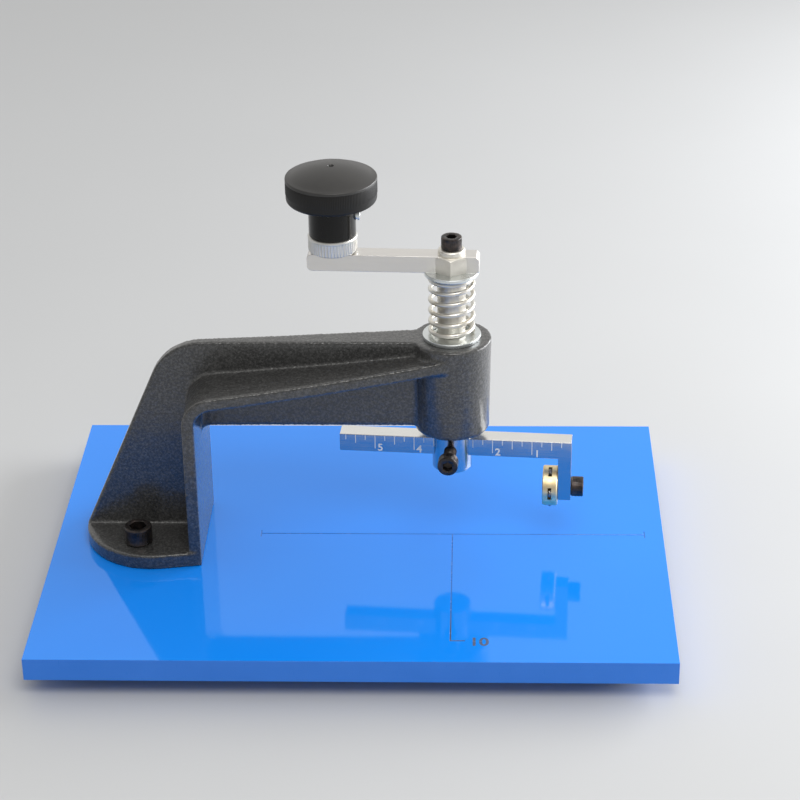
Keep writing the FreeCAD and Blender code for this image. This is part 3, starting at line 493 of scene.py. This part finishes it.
def foot_rubber():
    look = Shader("foot_rubber", IOR=1.5)
    grain = look.noise(1100.0, 3.0, 0.7)
    dust = look.noise(70.0, 4.0)
    dusty = look.remap(dust, 0.45, 0.8, 0.0, 1.0)
    colour = look.mix(dusty, rgb(0.014, 0.014, 0.015), rgb(0.045, 0.045, 0.048))
    return look.done(Base_Color=colour, Roughness=look.remap(dust, 0.3, 0.7, 0.55, 0.75),
                     Normal=look.bump(grain, 0.3, 0.00008))


def engraved_mark():
    """Cut graduations filled with matt white, which stand out from the polished face."""
    look = Shader("engraved_mark", IOR=1.5)
    grain = look.noise(2600.0, 3.0)
    colour = look.mix(grain, rgb(0.84, 0.83, 0.80), rgb(0.95, 0.94, 0.92))
    return look.done(Base_Color=colour, Roughness=look.remap(grain, 0.3, 0.7, 0.5, 0.7),
                     Normal=look.bump(grain, 0.2, 0.00002))


PLATE_FACE = plate_face()
PLATE_EDGE = plate_edge()
LINE_PAINT = line_paint()
CAST = hammered_paint()
ZINC = zinc_plate()
WIRE = drawn_wire()
OXIDE = black_oxide()
BRIGHT = turned_steel("bright_steel", SPINDLE, (0.90, 0.87, 0.80), 0.40)
HOLDER = turned_steel("holder_steel", SPINDLE, (0.62, 0.62, 0.62), 0.13)
CRANK = brushed_aluminium("crank_aluminium", CRANK_ALONG, (0.77, 0.75, 0.72), 0.32, 0.25)
COLLAR = turned_steel("collar_aluminium", KNOB, (0.84, 0.83, 0.79), 0.40)
# One aluminium in two copies: the sides' copy is darkened as painted shade, the top's copy stays light.
BAR_SIDES_PAINTED_SHADE = brushed_aluminium("bar_aluminium", BAR_ALONG, (0.50, 0.50, 0.50), 0.13, 0.06, 3000.0)
BAR_TOP = brushed_aluminium("bar_top", BAR_ALONG, (0.84, 0.84, 0.82), 0.16, 0.06, 3000.0)
MARK = engraved_mark()
# Three copies of one black plastic: the crown's is lightened as painted light, the neck's darkened as painted
# shade, the rim's left plain.
KNOB_CROWN_PAINTED_LIGHT = moulded_black("knob_crown", 0.36, 900.0, 0.25, 2.4)
KNOB_RIM = moulded_black("knob_rim", 0.42, 900.0, 0.25, 1.0, 0.25)
KNOB_GLOSS_PAINTED_SHADE = moulded_black("knob_gloss_painted_shade", 0.13, 700.0, 0.06, 0.5, 0.25)
BRASS = polished_brass()
WHEEL = hard_wheel()
BRONZE = plain_bronze()
RUBBER = foot_rubber()


# ---- plate and feet --------------------------------------------------------------------------

def make_plate():
    """The plate with its engraved lines, and the plain pieces under it."""
    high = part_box("base_plate")[1]
    skin, deepest_line = 0.05 * MM, 1 * MM

    def pick(face):
        """0 for the polished faces, 1 for the sawn edges, 2 for the engraved lines."""
        middle = face.calc_center_median()
        engraved = high.z - deepest_line < middle.z < high.z - skin
        if engraved and abs(middle.x) < high.x - skin and abs(middle.y) < high.y - skin:
            return 2
        return 0 if abs(face.normal.z) > 0.5 else 1

    softened("base_plate", "plate_sheet", [PLATE_FACE, PLATE_EDGE, LINE_PAINT], 0.25 * MM, 2, pick)
    softened("rubber_feet", "plate_feet", [RUBBER], 0.8 * MM, 3)
    softened("foot_washers", "feet_washers", [ZINC], 0.15 * MM)
    softened("arm_washers", "arm_bolt_washers", [ZINC], 0.3 * MM)
    softened("arm_nuts", "arm_bolt_nuts", [ZINC], 0.7 * MM, 3)


# ---- arm casting -----------------------------------------------------------------------------

def make_casting():
    """The casting's form remade as one skin, its edges and inner corners rounded as a casting's are."""
    # The skin is made on a grid, which leaves steps along edges that run almost with the grid.  So
    # the form is turned well away from the grid's directions first, and turned back at the end.
    tilt = Euler((0.5, 0.4, 0.3)).to_matrix().to_4x4()
    grid, smoothing, passes = 0.9 * MM, 0.5, 9
    mesh = NODES["arm_casting"].data.copy()
    mesh.materials.clear()
    mesh.transform(tilt)
    piece = add_piece("cast_arm", mesh, "arm_casting", [CAST])
    weld = piece.modifiers.new("weld", "WELD")
    weld.merge_threshold = CAD_WELD
    skin = piece.modifiers.new("skin", "REMESH")
    skin.mode = "VOXEL"
    skin.voxel_size = grid
    ease = piece.modifiers.new("ease", "SMOOTH")
    ease.factor = smoothing
    ease.iterations = passes
    baked(piece)
    piece.data.transform(tilt.inverted())
    piece.data.shade_smooth()


# ---- screws ----------------------------------------------------------------------------------

SCREW_SHARP = 32


def screw_mesh(name, shank, length, head, head_height, key, knurled=True):
    """A socket-head screw; its head stands on Z = 0 and ridges stand for the thread below it."""
    count, teeth = 96, 32
    chamfer, neck = head * 0.10, head_height * 0.10
    tooth = 0.18 * MM if knurled else 0.0
    ridge = knurl(head, teeth, tooth)
    ridge_start, ridge_end, plain_rim = neck + 0.2 * MM, 0.4 * MM, 0.2 * MM
    socket = hexagon(key)
    mouth, mouth_depth = key / math.sqrt(3) + 0.25 * MM, 0.3 * MM
    depth, drill_point = head_height * 0.55, key * 0.25
    shoulder = head_height - chamfer
    soft = chamfer * 0.3

    pitch = shank * 0.30
    thread_depth, tip, plain = pitch * 0.42, shank * 0.72, shank - pitch * 0.1
    turns = []
    level, thread_end = -length + shank * 0.2, -shank * 0.4
    while level < thread_end:
        turns += [(shank - thread_depth, level), (shank, level + pitch * 0.5)]
        level += pitch
    sections = [(0, -length), (tip, -length)] + turns + [
        (plain, -pitch), (plain, 0), (head - chamfer, 0), (head, neck),
        (ridge, ridge_start), (ridge, shoulder - ridge_end),
        (head, shoulder - plain_rim), (head, shoulder),
        (head - soft, head_height - soft), (head - chamfer, head_height),
        (mouth, head_height), (socket, head_height - mouth_depth), (socket, head_height - depth),
        (0, head_height - depth - drill_point),
    ]
    return finish_mesh(loft(sections, count), name, SCREW_SHARP)


def merged(name, meshes):
    """Several meshes as one."""
    work = bmesh.new()
    for mesh in meshes:
        work.from_mesh(mesh)
    return finish_mesh(work, name, SCREW_SHARP)


def make_screws():
    """The arm's two bolts, the three socket screws and the knob's small set screw."""
    low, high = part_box("arm_bolts")
    bolt_shank, bolt_height, bolt_key = 6 * MM, 12 * MM, 10 * MM
    bolt_head = (high.x - low.x) / 2
    bolt_x, seat = (low.x + high.x) / 2, high.z - bolt_height
    bolts = []
    for bolt_y in (low.y + bolt_head, high.y - bolt_head):
        mesh = screw_mesh("bolt", bolt_shank, seat - low.z, bolt_head, bolt_height, bolt_key)
        mesh.transform(Matrix.Translation((bolt_x, bolt_y, seat)))
        bolts.append(mesh)
    add_piece("arm_socket_bolts", merged("arm_socket_bolts", bolts), "arm_bolts", [OXIDE])

    head_radius, head_height, key, shank = 6.5 * MM, 8 * MM, 6 * MM, 4 * MM
    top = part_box("crank_screw")[1].z
    screws = [
        ("crank_socket_screw", "crank_screw", axes_at(Vector((SPINDLE.x, SPINDLE.y, top)), UP, CRANK_ALONG)),
        ("clamp_socket_screw", "bar_clamp_screw",
         axes_at(Vector(JOINTS["bar_clamp_turn"]["pos_m"]), BAR_OUT, UP)),
        ("turret_socket_screw", "turret_screw", axes_at(TURRET, BAR_ALONG, UP)),
    ]
    for name, node, matrix in screws:
        low, high = span(node, matrix)
        seat = high.z - head_height
        mesh = screw_mesh(name, shank, seat - low.z, head_radius, head_height, key)
        mesh.transform(matrix @ Matrix.Translation((0, 0, seat)))
        add_piece(name, mesh, node, [OXIDE])

    across = Vector((1, 0, 0))
    low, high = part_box("knob_set_screw")
    set_height, set_head, set_shank, set_key = 2.5 * MM, 4 * MM, 3 * MM, 2.5 * MM
    seat = high.x - set_height
    matrix = axes_at(Vector((seat, (low.y + high.y) / 2, (low.z + high.z) / 2)), across, UP)
    mesh = screw_mesh("knob_screw", set_shank, seat - low.x, set_head, set_height, set_key, False)
    mesh.transform(matrix)
    add_piece("knob_grub_screw", mesh, "knob_set_screw", [ZINC])


# ---- spindle, washers, spring and crank ------------------------------------------------------

def make_spring():
    """A coil spring with closed, ground ends."""
    low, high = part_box("return_spring")
    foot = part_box("lower_washer")[1].z
    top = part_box("upper_washer")[0].z
    wire = 1.4 * MM
    coil = (high.x - low.x) / 2 - wire
    turns, closed_turns = 6.2, 0.75
    steps, sides, spread, sharp_deg = 48, 18, 0.2, 50
    rise = (top - foot - 2 * wire - 2 * closed_turns * 2 * wire) / (turns - 2 * closed_turns)

    def level(turn):
        """Height of the wire's middle after so many turns."""
        first = min(turn, closed_turns) * 2 * wire
        open_part = min(max(turn - closed_turns, 0), turns - 2 * closed_turns) * rise
        last = max(turn - (turns - closed_turns), 0) * 2 * wire
        return foot + wire + first + open_part + last

    work = bmesh.new()
    rings = []
    total = int(turns * steps)
    for index in range(total + 1):
        turn = turns * index / total
        angle = 2 * math.pi * turn
        radial = Vector((math.cos(angle), math.sin(angle), 0))
        slope = (level(min(turn + spread, turns)) + level(max(turn - spread, 0))) / 2
        centre = Vector((SPINDLE.x, SPINDLE.y, slope)) + radial * coil
        ring = []
        for side in range(sides):
            around = 2 * math.pi * side / sides
            point = centre + radial * wire * math.cos(around) + UP * wire * math.sin(around)
            point.z = min(max(point.z, foot), top)
            ring.append(work.verts.new(point))
        rings.append(ring)
    for before, after in zip(rings, rings[1:]):
        for side in range(sides):
            beside = (side + 1) % sides
            work.faces.new((before[side], before[beside], after[beside], after[side]))
    work.faces.new(rings[0])
    work.faces.new(rings[-1])
    mesh = finish_mesh(work, "coil_spring", sharp_deg)
    piece = add_piece("coil_spring", mesh, "return_spring", [WIRE])
    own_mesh(piece)


def make_spindle():
    """The spindle with the turned and flat pieces that it carries."""
    softened("spindle", "spindle_shaft", [BRIGHT], 0.35 * MM)
    softened("crank_cap", "cap_washer", [BRIGHT], 0.3 * MM)
    softened("lower_washer", "spring_seat_washer", [ZINC], 0.5 * MM, 3)
    softened("upper_washer", "spring_top_washer", [ZINC], 0.5 * MM, 3)
    softened("crank_arm", "crank_bar", [CRANK], 0.5 * MM, 3)
    softened("bar_holder", "bar_head", [HOLDER], 0.3 * MM)


def make_collar():
    """Collar under the knob, with coarse straight grooves between plain polished rims."""
    low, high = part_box("knurled_collar")
    radius, height = (high.x - low.x) / 2, high.z - low.z
    bore = (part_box("knob_stud")[1].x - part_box("knob_stud")[0].x) / 2
    foot, foot_height = 12 * MM, 1.5 * MM
    teeth, steps_a_tooth, depth, lead, sharp_deg = 48, 8, 0.6 * MM, 0.6 * MM, 40
    ridge, root = knurl(radius - 0.1 * MM, teeth, depth), radius - depth
    groove_start, groove_end = foot_height + 0.4 * MM, height - 2.0 * MM
    rim_low, rim_high, rim_top = height - 1.6 * MM, height - 0.9 * MM, height - 0.3 * MM
    undercut, rim_start, rim_turn, rim_round = 0.5 * MM, 0.15 * MM, 0.25 * MM, 0.9 * MM
    profile = [
        (bore, 0), (foot, 0), (foot, foot_height), (root - undercut, foot_height),
        (root, groove_start), (ridge, groove_start + lead),
        (ridge, groove_end - lead), (radius - rim_start, groove_end),
        (radius, rim_low), (radius, rim_high), (radius - rim_turn, rim_top),
        (radius - rim_round, height), (bore, height),
    ]
    mesh = finish_mesh(closed(profile, teeth * steps_a_tooth), "thumb_collar", sharp_deg)
    mesh.transform(Matrix.Translation((KNOB.x, KNOB.y, low.z)))
    add_piece("thumb_collar", mesh, "knurled_collar", [COLLAR])


def make_knob():
    """Mushroom knob: glossy neck, finely ridged rim and a shallow satin crown with a dimple."""
    low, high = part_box("knob")
    radius, height = (high.x - low.x) / 2, high.z - low.z
    neck, under, rim, bore, bore_depth = 14.75 * MM, 22 * MM, 16 * MM, 8 * MM, 33 * MM
    shoulder, edge = under + rim, radius - 1.5 * MM
    teeth, steps_a_tooth, tooth_depth, sharp_deg = 168, 4, 0.16 * MM, 38
    ridge, root = knurl(radius, teeth, tooth_depth), radius - 0.2 * MM
    rise, dimple, crown_rings, roundness = height - shoulder, 2.1 * MM, 14, 0.9
    crown = []
    for step in range(1, crown_rings + 1):
        reach = edge + (dimple - edge) * step / crown_rings
        crown.append((reach, shoulder + rise * (1 - (reach / edge) ** 2) ** roundness))
    lip, smooth_rim = shoulder - 1.8 * MM, radius - 0.3 * MM
    neck_fillet, inner_fillet, outer_fillet, shoulder_fillet = 0.5 * MM, 1.5 * MM, 4 * MM, 1.2 * MM
    profile = rounded([(bore, 0, 0), (neck, 0, neck_fillet), (neck, under, inner_fillet),
                       (smooth_rim, under, outer_fillet), (root, under + 5.5 * MM, 0)])
    profile += [(ridge, under + 6 * MM), (ridge, shoulder - 2.4 * MM), (root, shoulder - 2 * MM)]
    profile += rounded([(radius, lip, 0), (radius, shoulder, shoulder_fillet),
                        (edge, shoulder + 0.3 * MM, 0)])
    profile += crown
    dimple_floor = height - 1.7 * MM
    profile += [(dimple * 0.85, height - 0.5 * MM), (dimple * 0.65, height - 1.5 * MM)]
    profile += [(0, dimple_floor)]
    work = loft(profile, teeth * steps_a_tooth)
    inner = loft([(bore, 0), (bore, bore_depth), (0, bore_depth)], teeth * steps_a_tooth)
    shell = bpy.data.meshes.new("knob_bore")
    inner.to_mesh(shell)
    inner.free()
    on_crown, on_rim, on_neck = 0, 1, 2
    rim_paint_start = under + 0.5 * MM
    for face in work.faces:
        level = face.calc_center_median().z
        face.material_index = on_crown if level > lip else on_rim if level > rim_paint_start else on_neck
    outer_faces = len(work.faces)
    work.from_mesh(shell)
    work.faces.ensure_lookup_table()
    for face in work.faces[outer_faces:]:
        face.material_index = on_neck
    mesh = finish_mesh(work, "crank_knob", sharp_deg)
    mesh.transform(Matrix.Translation((KNOB.x, KNOB.y, low.z)))
    # The crown carries the lightened copy (painted light) and the neck the darkened copy (painted shade).
    add_piece("crank_knob", mesh, "knob", [KNOB_CROWN_PAINTED_LIGHT, KNOB_RIM, KNOB_GLOSS_PAINTED_SHADE])


# ---- scale bar and turret --------------------------------------------------------------------

def numeral(text, height, bold):
    """A plain number as a thin mesh, standing on its own baseline; bold thickens its strokes."""
    figure_share, half_thickness = 0.7, 0.01 * MM
    curve = bpy.data.curves.new("numeral", "FONT")
    curve.body = text
    curve.size = height / figure_share
    curve.extrude = half_thickness
    curve.offset = bold
    item = bpy.data.objects.new("numeral", curve)
    bpy.context.scene.collection.objects.link(item)
    bpy.context.view_layer.update()
    mesh = bpy.data.meshes.new_from_object(item)
    bpy.data.objects.remove(item)
    return mesh


def block(work, low, high, matrix):
    """A thin box between two corners of a matrix's axes."""
    corners = [work.verts.new(matrix @ Vector((x, y, z)))
               for z in (low.z, high.z) for y in (low.y, high.y) for x in (low.x, high.x)]
    for face in ((0, 2, 3, 1), (4, 5, 7, 6), (0, 1, 5, 4), (2, 6, 7, 3), (0, 4, 6, 2), (1, 3, 7, 5)):
        work.faces.new([corners[index] for index in face])


def make_bar():
    """The polished bar and its inch graduations, which count from the leg's outer face."""
    def pick(face):
        """0 for the sides, which get a darker copy of the aluminium as painted shade; 1 for the top's lighter
        copy.
        """
        faces_up = 0.7
        return 1 if face.normal.z > faces_up else 0

    softened("scale_bar", "radius_bar", [BAR_SIDES_PAINTED_SHADE, BAR_TOP], 0.3 * MM, 2, pick)
    face = axes_at(SPINDLE, BAR_OUT, BAR_ALONG)
    low, high = span("scale_bar", face)
    top = high.y if face.col[1].z > 0 else low.y
    sign = 1 if face.col[1].z > 0 else -1
    proud, line, line_start = 0.02 * MM, 0.45 * MM, 0.3 * MM
    quarter = 25.4 * MM / 4
    lengths = {0: 9.6 * MM, 2: 6.2 * MM, 1: 3.8 * MM, 3: 3.8 * MM}
    figure, bold, beside_line, above_edge = 5.0 * MM, 0.14 * MM, 1.6 * MM, 0.9 * MM
    bar_height = 12 * MM
    work = bmesh.new()
    count = int((high.x - low.x) / quarter)
    for index in range(1, count + 1):
        along = high.x - index * quarter
        length = lengths[index % 4]
        ends = sorted((top - sign * line_start, top - sign * length))
        block(work, Vector((along - line / 2, ends[0], high.z - proud)),
              Vector((along + line / 2, ends[1], high.z + proud)), face)
        if index % 4 == 0:
            mesh = numeral(str(index // 4), figure, bold)
            base = top - sign * (bar_height - above_edge)
            mesh.transform(face @ Matrix.Translation((along + beside_line, base, high.z + proud / 2)))
            work.from_mesh(mesh)
    mesh = finish_mesh(work, "bar_graduations", sharp_deg=30)
    add_piece("bar_graduations", mesh, "scale_bar", [MARK], replaces=False)


def make_size_mark():
    """The worn circle size, in inches, painted beside the front setting line."""
    low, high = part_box("base_plate")
    height, bold, proud = 8.5 * MM, 0.3 * MM, 0.01 * MM
    front_gap, side_gap = 18.2 * MM, 11.6 * MM
    mesh = numeral("10", height, bold)
    mesh.transform(Matrix.Translation((SPINDLE.x + side_gap, low.y + front_gap, high.z + proud)))
    add_piece("circle_size_mark", mesh, "base_plate", [LINE_PAINT], replaces=False)


def make_turret():
    softened("turret", "wheel_turret", [BRASS], 0.25 * MM)


# ---- CAD nodes that keep their own form ------------------------------------------------------

def paint_cad_nodes():
    """Give every CAD node a finish, those that are hidden by a detailed piece too."""
    finish = {
        "plate": PLATE_FACE, "rubber": RUBBER, "zinc": ZINC, "casting": CAST, "black_oxide": OXIDE,
        "bronze": BRONZE, "spring_wire": WIRE, "bright_steel": BRIGHT, "crank_aluminium": CRANK,
        "collar_aluminium": COLLAR, "bar_aluminium": BAR_SIDES_PAINTED_SHADE, "knob_plastic": KNOB_GLOSS_PAINTED_SHADE, "brass": BRASS,
        "wheel_steel": WHEEL,
    }
    for node, item in NODES.items():
        item.data.materials.clear()
        item.data.materials.append(finish[SLOT_OF[node]])


# ---- floor, light and camera -----------------------------------------------------------------

def make_floor():
    """A pale matt floor with the faintest mottling."""
    look = Shader("studio_floor", IOR=1.45)
    cloud = look.noise(3.0, 3.0)
    colour = look.mix(cloud, rgb(0.57, 0.58, 0.59), rgb(0.61, 0.62, 0.63))
    material = look.done(Base_Color=colour, Roughness=look.remap(cloud, 0.3, 0.7, 0.55, 0.65))
    half = 6.0
    mesh = bpy.data.meshes.new("studio_floor")
    corners = [(-half, -half, 0), (half, -half, 0), (half, half, 0), (-half, half, 0)]
    mesh.from_pydata(corners, [], [(0, 1, 2, 3)])
    mesh.materials.append(material)
    floor = bpy.data.objects.new("studio_floor", mesh)
    bpy.context.scene.collection.objects.link(floor)


def make_world():
    """Soft surroundings: bright behind, to the right and overhead, dim in front and to the left."""
    front_dim, back_bright, top_bright = 0.34, 0.80, 0.70
    brightest_way = (0.40, 0.92, 0.0)
    world = bpy.data.worlds.new("studio")
    world.use_nodes = True
    bpy.context.scene.world = world
    tree = world.node_tree

    def ranged(value, low, high, out_low, out_high):
        item = tree.nodes.new("ShaderNodeMapRange")
        item.interpolation_type = "SMOOTHSTEP"
        for socket, amount in zip(item.inputs[1:5], (low, high, out_low, out_high)):
            socket.default_value = amount
        tree.links.new(value, item.inputs[0])
        return item.outputs[0]

    place = tree.nodes.new("ShaderNodeTexCoord")
    split = tree.nodes.new("ShaderNodeSeparateXYZ")
    tree.links.new(place.outputs["Generated"], split.inputs[0])
    facing = tree.nodes.new("ShaderNodeVectorMath")
    facing.operation = "DOT_PRODUCT"
    facing.inputs[1].default_value = brightest_way
    tree.links.new(place.outputs["Generated"], facing.inputs[0])
    around = ranged(facing.outputs["Value"], -0.35, 0.55, front_dim, back_bright)
    overhead = ranged(split.outputs["Z"], 0.55, 0.95, 0.0, 1.0)
    blend = tree.nodes.new("ShaderNodeMix")
    tree.links.new(overhead, blend.inputs[0])
    tree.links.new(around, blend.inputs[2])
    blend.inputs[3].default_value = top_bright
    back = tree.nodes["Background"]
    back.inputs[0].default_value = rgb(1.0, 0.99, 0.97)
    tree.links.new(blend.outputs[0], back.inputs[1])


def add_light(name, place, target, width, height, power, colour):
    lamp = bpy.data.lights.new(name, "AREA")
    lamp.shape = "RECTANGLE"
    lamp.size, lamp.size_y = width, height
    lamp.energy = power
    lamp.color = colour
    item = bpy.data.objects.new(name, lamp)
    item.location = place
    item.rotation_mode = "QUATERNION"
    item.rotation_quaternion = (Vector(target) - Vector(place)).to_track_quat("-Z", "Y")
    bpy.context.scene.collection.objects.link(item)


def make_lights():
    middle = (cad_low + cad_high) / 2
    add_light("key", (0.3, -1.0, 1.7), middle, 1.0, 1.0, 13, (1.0, 0.98, 0.95))
    add_light("side", (1.25, 0.50, 0.42), middle, 1.3, 0.7, 24, (0.97, 0.98, 1.0))


def make_camera():
    """Slightly above and in front of the plate, with a long lens."""
    data = bpy.data.cameras.new("camera")
    data.sensor_width = 36
    data.lens = 107.06
    data.clip_start, data.clip_end = 0.05, 50
    camera = bpy.data.objects.new("camera", data)
    place = Vector((0.0764, -1.3499, 0.8412))
    looking = Vector((-0.0319, 0.8835, -0.4673))
    roll = math.radians(-0.83)
    camera.location = place
    camera.rotation_mode = "QUATERNION"
    camera.rotation_quaternion = looking.to_track_quat("-Z", "Y") @ Quaternion((0, 0, 1), roll)
    bpy.context.scene.collection.objects.link(camera)
    bpy.context.scene.camera = camera


# ---- whole scene -----------------------------------------------------------------------------

make_plate()
make_casting()
make_screws()
make_spindle()
make_spring()
make_collar()
make_knob()
make_bar()
make_size_mark()
make_turret()
paint_cad_nodes()
make_floor()
make_world()
make_lights()
make_camera()
bpy.context.scene.view_settings.view_transform = "Standard"
